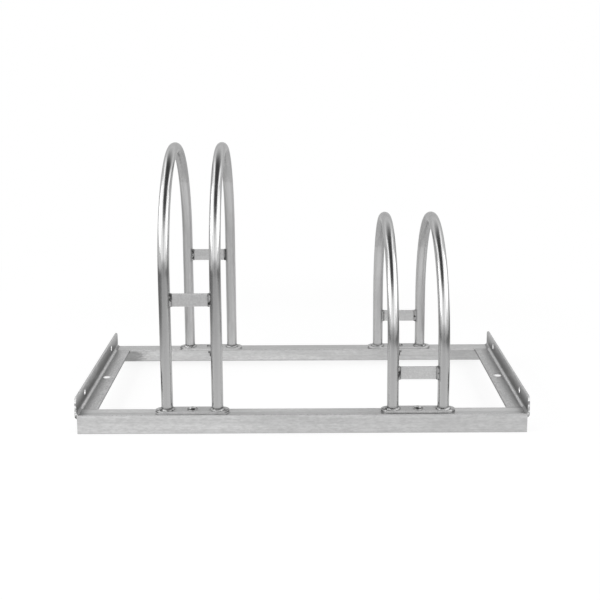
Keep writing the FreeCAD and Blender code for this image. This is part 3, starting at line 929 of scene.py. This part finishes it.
half_gap = wheel_gap / 2
half_height = crossbar_height / 2
half_thickness = crossbar_thickness / 2
bar_outline = rectangle(half_thickness, half_height)
one_crossbar = prism("one crossbar", bar_outline, lambda y, z: (-half_gap, y, z),
                     lambda y, z: (half_gap, y, z))
ease_edges(one_crossbar, 0.0006, steps=3)
crossbar_zinc = flat_bar_steel("zinc on crossbars", (0.03, 1.0, 1.0), 0.59, crossbar_ends)
crossbar_points = [(middle, side * bolt_line, crossbar_levels[bay])
                   for bay, middle in bay_middles.items() for side in (-1, 1)]
set_copies("crossbar_bars", crossbar_points, one_crossbar, crossbar_zinc, "flat_bar", "crossbar")


# ---------------------------------------------------------------- carriage bolts
# Zinc-plated M6 carriage bolts, pushed down through the plates. The head is a low forged dome, the
# square neck sits in the plate's hole, and the rolled thread goes through the flange.
head_radius = 0.00825
head_height = 0.0039
head_rim = 0.0005
shank_radius = 0.003
bolt_end = 0.014
thread_pitch = 0.001
thread_depth = 0.00054
thread_end_taper = 0.0008


def revolve(name, outline, count=64):
    """A closed turned shape. The outline goes from the axis round and back to the axis."""
    form = bmesh.new()
    rings = []
    for radius, height in outline:
        ring = circle_points(radius, count) if radius > 1e-9 else [(0, 0)]
        rings.append([form.verts.new((x, y, height)) for x, y in ring])
    for lower, upper in zip(rings, rings[1:]):
        for step in range(count):
            after = (step + 1) % count
            corners = [lower[step % len(lower)], lower[after % len(lower)],
                       upper[after % len(upper)], upper[step % len(upper)]]
            form.faces.new(list(dict.fromkeys(corners)))
    return form_piece(name, form)


def joined_piece(name, parts):
    """Joins plain pieces of one material into one."""
    form = bmesh.new()
    for part in parts:
        form.from_mesh(part.data)
    mesh = parts[0].data.copy()
    mesh.name = name
    form.to_mesh(mesh)
    form.free()
    for part in parts:
        bpy.data.objects.remove(part)
    return link_piece(name, mesh)


def fastener_steel(name):
    """Bright zinc plating on cold-forged steel, with a fine forged grain. Under the plates it has painted
    shade, and round each dome's foot a ring of painted dark reflection."""
    material, tree, shader, place, marked = start_metal(name, 0.65)
    clouds = use_group(dull_zinc, {"Vector": place, "Patches": 160.0, "Cover": 0.45})
    rub = use_group(rubbed_edge, {"Vector": place, "Edge": marked, "Wear": 0.6})["Mask"]
    grey = blend_grey(clouds["Mask"], 0.55, 0.46)
    up = parts_of(place)[2]
    # Painted shade on all of the bolt, washer and nut under the plates.
    under_plate = spread(up, plate_top - 0.0004, plate_top - 0.0012)
    chance = noise(place, 300.0, detail=2.0)
    # Painted dark reflection in a ragged ring round the dome's lower flank.
    ring_top = spread(up, plate_top + 0.0030, plate_top + 0.0020)
    ring = times(spread(up, plate_top + 0.0005, plate_top + 0.0009), ring_top)
    dome_foot_dark_reflection = times(ring, spread(chance, 0.36, 0.5, 0.2, 0.9))
    grey = coats(grey, (rub, 1, 0.7), (under_plate, 1, 0.2), (dome_foot_dark_reflection, 1, 0.08))
    roughness = blend_grey(clouds["Mask"], 0.16, 0.28)
    finish_metal(shader, grey, roughness, clouds["Grain"], 0.00001)
    return material


dome = head_height - head_rim
dome_radius = (head_radius ** 2 + dome ** 2) / (2 * dome)
dome_half_angle = math.asin(head_radius / dome_radius)
head_outline = [(0.0, plate_top), (head_radius - 0.0002, plate_top), (head_radius, plate_top + 0.0002)]
for step in range(17):
    angle = dome_half_angle * (1 - step / 16)
    head_outline.append((dome_radius * math.sin(angle),
                         plate_top + head_height - dome_radius * (1 - math.cos(angle))))
head_outline[-1] = (0.0, plate_top + head_height)
head = revolve("head", head_outline)
head.data.shade_smooth()

thread = bmesh.new()
rows = int((plate_top - bolt_end) / (thread_pitch / 8))
round_steps = 28
ring_rows = []
for row in range(rows + 1):
    height = bolt_end + (plate_top - bolt_end) * row / rows
    ring_row = []
    for step in range(round_steps):
        phase = (height / thread_pitch - step / round_steps) % 1.0
        groove = min(1.0, max(0.0, abs(phase - 0.5) * 2.6 - 0.2))
        radius = shank_radius - thread_depth * groove
        taper = thread_end_taper * max(0.0, 1 - (height - bolt_end) / thread_end_taper)
        radius = min(radius, shank_radius - taper)
        turn = 2 * math.pi * step / round_steps
        ring_row.append(thread.verts.new((radius * math.cos(turn), radius * math.sin(turn), height)))
    ring_rows.append(ring_row)
for lower, upper in zip(ring_rows, ring_rows[1:]):
    for step in range(round_steps):
        after = (step + 1) % round_steps
        thread.faces.new((lower[step], lower[after], upper[after], upper[step]))
thread.faces.new(ring_rows[0])
thread.faces.new(ring_rows[-1])

neck = prism("neck", rectangle(neck_width / 2, neck_width / 2), lambda x, y: (x, y, rail_top + 0.0004),
             lambda x, y: (x, y, plate_top))
one_bolt = joined_piece("one bolt", [form_piece("thread", thread), head, neck])
bolt_zinc = fastener_steel("plated fasteners")
set_copies("carriage_bolt_set", bolt_points, one_bolt, bolt_zinc, "fastener", "carriage_bolt")


# ---------------------------------------------------------------- washers and nuts
# Plain stamped washers and plated hexagon nuts, drawn up under the rails' flanges. Each nut has stopped
# at its own angle.
washer_thickness = 0.0016
washer_radius = 0.006
washer_bore = 0.0032
nut_height = 0.005
nut_across_flats = 0.010
nut_bore = 0.00305

washer_low = flange_underside - washer_thickness
ease = 0.0003
washer_section = [(washer_bore, washer_low), (washer_radius - ease, washer_low),
                  (washer_radius, washer_low + ease),
                  (washer_radius, flange_underside - ease * 0.3),
                  (washer_radius - ease * 0.3, flange_underside),
                  (washer_bore, flange_underside), (washer_bore, washer_low)]
one_washer = revolve("one washer", washer_section, 48)
form = bmesh.new()
form.from_mesh(one_washer.data)
bmesh.ops.remove_doubles(form, verts=form.verts, dist=1e-6)
bmesh.ops.recalc_face_normals(form, faces=form.faces)
form.to_mesh(one_washer.data)
form.free()
set_copies("washer_set", bolt_points, one_washer, bolt_zinc, "fastener", "washer")

nut_low = washer_low - nut_height
nut_corner = nut_across_flats / math.sqrt(3)
nut_face = nut_across_flats * 0.475
nut_rise = (nut_corner - nut_face) * math.tan(math.radians(30))
one_nut = prism("one nut", circle_points(nut_corner, 6), lambda x, y: (x, y, nut_low),
                lambda x, y: (x, y, washer_low))
past_corner = nut_corner + 0.0002
turned_outline = [(0.0, nut_low), (nut_face, nut_low), (past_corner, nut_low + nut_rise),
                  (past_corner, washer_low - nut_rise), (nut_face, washer_low), (0.0, washer_low)]
cut(one_nut, [revolve("turned", turned_outline, 96)], "INTERSECT")
cut(one_nut, [drill("nut bore", Vector((0, 0, nut_low + nut_height / 2)), "Z", nut_bore, drill_reach)])
ease_edges(one_nut, 0.0001, sharper_than=24, steps=1)
nut_turns = {"Turn Spread": math.pi / 3, "Seed": 5}
set_copies("nut_set", bolt_points, one_nut, bolt_zinc, "fastener", "nut", nut_turns)


# ---------------------------------------------------------------- welds
# Hand-laid beads: a fillet all round each tube's foot, one up each side of every crossbar end, and low
# seams and tacks under the frame's corners. The rippled metal has dark burnt blotches and painted shade
# between brighter crests.
foot_weld_leg = 0.003
crossbar_weld_leg = 0.003

weld_bead, enter, leave = new_tree("weld bead", "GeometryNodeTree", {
    "Path": "Geometry", "Section": "Object", "Ripple Pitch": 0.0016, "Ripple Height": 0.00016,
    "Wander": 0.16, "End Taper": 0.0, "Seed": 0.0, "Finish": "Material",
}, {"Geometry": "Geometry"})
outward = made(weld_bead, "GeometryNodeInputNamedAttribute", {"Name": "out"}, data_type="FLOAT_VECTOR")
path = made(weld_bead, "GeometryNodeMeshToCurve", {"Mesh": enter["Path"]})
step_length = divided(enter["Ripple Pitch"], 7.0)
path = made(weld_bead, "GeometryNodeResampleCurve", {"Curve": path, "Length": step_length}, mode="LENGTH")
where = made(weld_bead, "GeometryNodeInputPosition")
uneven = {"Vector": where, "W": enter["Seed"], "Scale": 260.0, "Detail": 2.0}
uneven = made(weld_bead, "ShaderNodeTexNoise", uneven, noise_dimensions="4D")
uneven = times(minus(uneven, 0.62), enter["Wander"])
bead_length = put(weld_bead, "GeometryNodeSplineLength").outputs["Length"]
so_far = put(weld_bead, "GeometryNodeSplineParameter").outputs["Length"]
to_end = smaller(so_far, minus(bead_length, so_far))
rounded = divided(to_end, larger(enter["End Taper"], 0.00001))
rounded = smaller(times_plus(rounded, 0.55, 0.45), 1.0)
closed = calculate("LESS_THAN", enter["End Taper"], 0.00001)
size = times(plus(uneven, 1.0), larger(rounded, closed))
path = made(weld_bead, "GeometryNodeSetCurveRadius", {"Curve": path, "Radius": size})
path = made(weld_bead, "GeometryNodeSetCurveNormal", {"Curve": path, "Normal": outward}, mode="FREE")
laid = put(weld_bead, "GeometryNodeSplineParameter").outputs["Length"]
path, along = capture(path, "FLOAT", "Along", laid)
section = put(weld_bead, "GeometryNodeObjectInfo", {"Object": enter["Section"]}).outputs["Geometry"]
section = made(weld_bead, "GeometryNodeMeshToCurve", {"Mesh": section})
section, around = capture(section, "FLOAT", "Round", made(weld_bead, "GeometryNodeSplineParameter"))
bead = {"Curve": path, "Profile Curve": section, "Fill Caps": True}
bead = made(weld_bead, "GeometryNodeCurveToMesh", bead)
bow = calculate("POWER", minus(around, 0.45), 2.0)
crescent = times(bow, 3.2)
turns = plus(divided(along, enter["Ripple Pitch"]), crescent)
swell = unsigned(calculate("SINE", times(turns, math.pi)))
raise_by = times(minus(swell, 0.9), enter["Ripple Height"])
facing = made(weld_bead, "GeometryNodeInputNormal")
shift = made(weld_bead, "ShaderNodeVectorMath", {0: facing, 3: raise_by}, operation="SCALE")
bead = made(weld_bead, "GeometryNodeSetPosition", {"Geometry": bead, "Offset": shift})
bead = store(bead, "crest", swell, "FLOAT")
finish_tree(made(weld_bead, "GeometryNodeSetShadeSmooth", {"Geometry": bead}), enter, leave)


def weld_metal(name, clean, burnt, burnt_from, charred=()):
    """Coated bead metal, with painted shade between the ripple crests, dark burnt blotches where the noise
    passes burnt_from, more of them near the charred spots, bits of slag and painted glints as bright specks."""
    material, tree, shader, place, marked = start_metal(name, 0.65)
    crest = attribute(tree, "crest")["Fac"]
    slag = noise(place, 420.0, detail=4.0, roughness=0.7)
    blotch = noise(place, 130.0, detail=3.0)
    for x, y in charred:
        near = spread(column_distance(place, x, y, 0.0), 0.004, 0.010, 0.12, 0.0)
        blotch = plus(blotch, near)
    # Painted shade between the ripple crests.
    grey = blend_grey(crest, clean * 0.7, clean)
    # Burnt blotches and slag darken it; the last layer is painted glints, as bright specks.
    grey = coats(grey, (spread(blotch, burnt_from, burnt_from + 0.07), 1, burnt),
                 (spread(slag, 0.62, 0.72), 1, burnt * 0.6), (spread(slag, 0.37, 0.31), 1, clean * 1.6))
    roughness = spread(slag, 0.3, 0.7, 0.28, 0.5)
    finish_metal(shader, grey, roughness, slag, 0.00006)
    return material


def bead_section(name, corners, crown, embedded, count=12):
    """A bead's closed section: a swollen face between two corners, and the buried points behind it."""
    (x1, y1), (x2, y2) = corners
    middle = Vector(((x1 + x2) / 2, (y1 + y2) / 2))
    swell = Vector((y2 - y1, x1 - x2)).normalized() * crown
    points = []
    for step in range(count + 1):
        part = step / count
        spot = Vector((x1 + (x2 - x1) * part, y1 + (y2 - y1) * part)) + swell * 4 * part * (1 - part)
        points.append((spot.x, spot.y, 0.0))
    points += [(x, y, 0.0) for x, y in embedded]
    return plain_piece(name, points, [(index, (index + 1) % len(points)) for index in range(len(points))])


def bead_paths(name, lines):
    """Joins paths into one mesh. Each is a list of points, a list of outward directions and if it closes."""
    points, edges, outs = [], [], []
    for line, directions, closes in lines:
        first = len(points)
        points += line
        outs += directions
        edges += [(first + index, first + index + 1) for index in range(len(line) - 1)]
        if closes:
            edges.append((first + len(line) - 1, first))
    piece = plain_piece(name, points, edges)
    mark = piece.data.attributes.new("out", "FLOAT_VECTOR", "POINT")
    mark.data.foreach_set("vector", [value for direction in outs for value in direction])
    return piece


foot_bead_zinc = weld_metal("bead metal round the feet", 0.38, 0.07, 0.58, charred_spots)
bar_bead_zinc = weld_metal("bead metal at the crossbars", 0.42, 0.06, 0.49)
rings = []
ring_steps = 48
turns_round = [-2 * math.pi * step / ring_steps for step in range(ring_steps)]
for foot_x in hoop_feet.values():
    for side in (-1, 1):
        outs = [(math.cos(turn), math.sin(turn), 0.0) for turn in turns_round]
        ring = [(foot_x + tube_radius * x, side * bolt_line + tube_radius * y, plate_top) for x, y, _ in outs]
        rings.append((ring, outs, True))
foot_section = bead_section("foot bead section", ((foot_weld_leg, 0.0), (0.0, foot_weld_leg)), 0.0005,
                            [(-0.0006, foot_weld_leg * 0.6), (-0.0006, -0.0006),
                             (foot_weld_leg * 0.6, -0.0006)])
foot_beads = bead_paths("foot_weld_beads", rings)
run_tree(foot_beads, weld_bead, {"Section": foot_section, "Finish": foot_bead_zinc, "Seed": 1.0})
bpy.data.objects.remove(foot_section)
finish_piece(foot_beads, None, "weld_metal", "foot_welds")

crossbar_beads = []
bar_corner = math.sqrt(tube_radius ** 2 - half_thickness ** 2)
on_tube = math.sqrt(tube_radius ** 2 - (half_thickness + crossbar_weld_leg) ** 2) - bar_corner
for end_side in (-1, 1):
    for face_side in (-1, 1):
        uprights = []
        for bay, middle in bay_middles.items():
            for rail_side in (-1, 1):
                x = middle + end_side * (hoop_spacing / 2 - bar_corner)
                y = rail_side * bolt_line + face_side * half_thickness
                low = crossbar_levels[bay] - half_height
                path = [(x, y, low), (x, y, low + crossbar_height)]
                if end_side * face_side > 0:
                    path.reverse()
                uprights.append((path, [(-end_side, 0.0, 0.0)] * 2, False))
        bar_section = bead_section("crossbar bead section",
                                   ((crossbar_weld_leg, 0.0), (on_tube, crossbar_weld_leg)), 0.0006,
                                   [(on_tube - 0.0005, crossbar_weld_leg * 0.7), (-0.0006, -0.0004),
                                    (crossbar_weld_leg * 0.6, -0.0004)])
        beads = bead_paths(f"crossbar_weld_beads_{len(crossbar_beads)}", uprights)
        run_tree(beads, weld_bead, {"Section": bar_section, "Finish": bar_bead_zinc, "Wander": 0.24,
                                    "End Taper": 0.002, "Seed": 2.0 + end_side})
        bpy.data.objects.remove(bar_section)
        crossbar_beads.append(beads)
crossbar_welds = joined_piece("crossbar_weld_beads", crossbar_beads)
finish_piece(crossbar_welds, None, "weld_metal", "crossbar_welds")

seam_width = 0.006
seam_height = 0.0012
tack_leg = 0.0029
seam_section = bead_section("seam section", ((seam_width / 2, 0.0), (-seam_width / 2, 0.0)), seam_height,
                            [(-seam_width * 0.4, -0.0005), (seam_width * 0.4, -0.0005)])
tack_section = bead_section("tack section", ((tack_leg, 0.0), (0.0, tack_leg)), 0.0003,
                            [(-0.0005, tack_leg * 0.6), (-0.0005, -0.0005), (tack_leg * 0.6, -0.0005)])
frame_beads = []
tack_inset = 0.0001


def lay_frame_bead(name, start, end, turn_back, out, section, taper, seed):
    """One straight bead, laid from the other end where its section has to face the other way."""
    path = [end, start] if turn_back else [start, end]
    beads = bead_paths(name, [(path, [out] * 2, False)])
    run_tree(beads, weld_bead, {"Section": section, "Finish": bar_bead_zinc, "End Taper": taper,
                                "Seed": seed})
    frame_beads.append(beads)


for end_side in (-1, 1):
    for rail_side in (-1, 1):
        outer = end_side * rail_end
        chance = end_side + 3 * rail_side
        y = rail_side * (frame_half_depth - angle_leg)
        start = (outer, y, flange_underside)
        end = (end_side * (rail_end - angle_leg + angle_wall), y, flange_underside)
        lay_frame_bead("frame seam", start, end, end_side < 0, (0.0, 1.0, 0.0), seam_section, 0.003,
                       7.0 + chance)
        start = (outer, rail_side * (frame_half_depth - tack_inset), flange_underside)
        end = (outer, rail_side * (frame_half_depth - tack_leg), flange_underside)
        turn_back = end_side * rail_side > 0
        lay_frame_bead("frame tack", start, end, turn_back, (end_side, 0.0, 0.0), tack_section, 0.001,
                       9.0 + chance)
bpy.data.objects.remove(seam_section)
bpy.data.objects.remove(tack_section)
frame_welds = joined_piece("frame_weld_beads", frame_beads)
finish_piece(frame_welds, None, "weld_metal", "frame_welds")
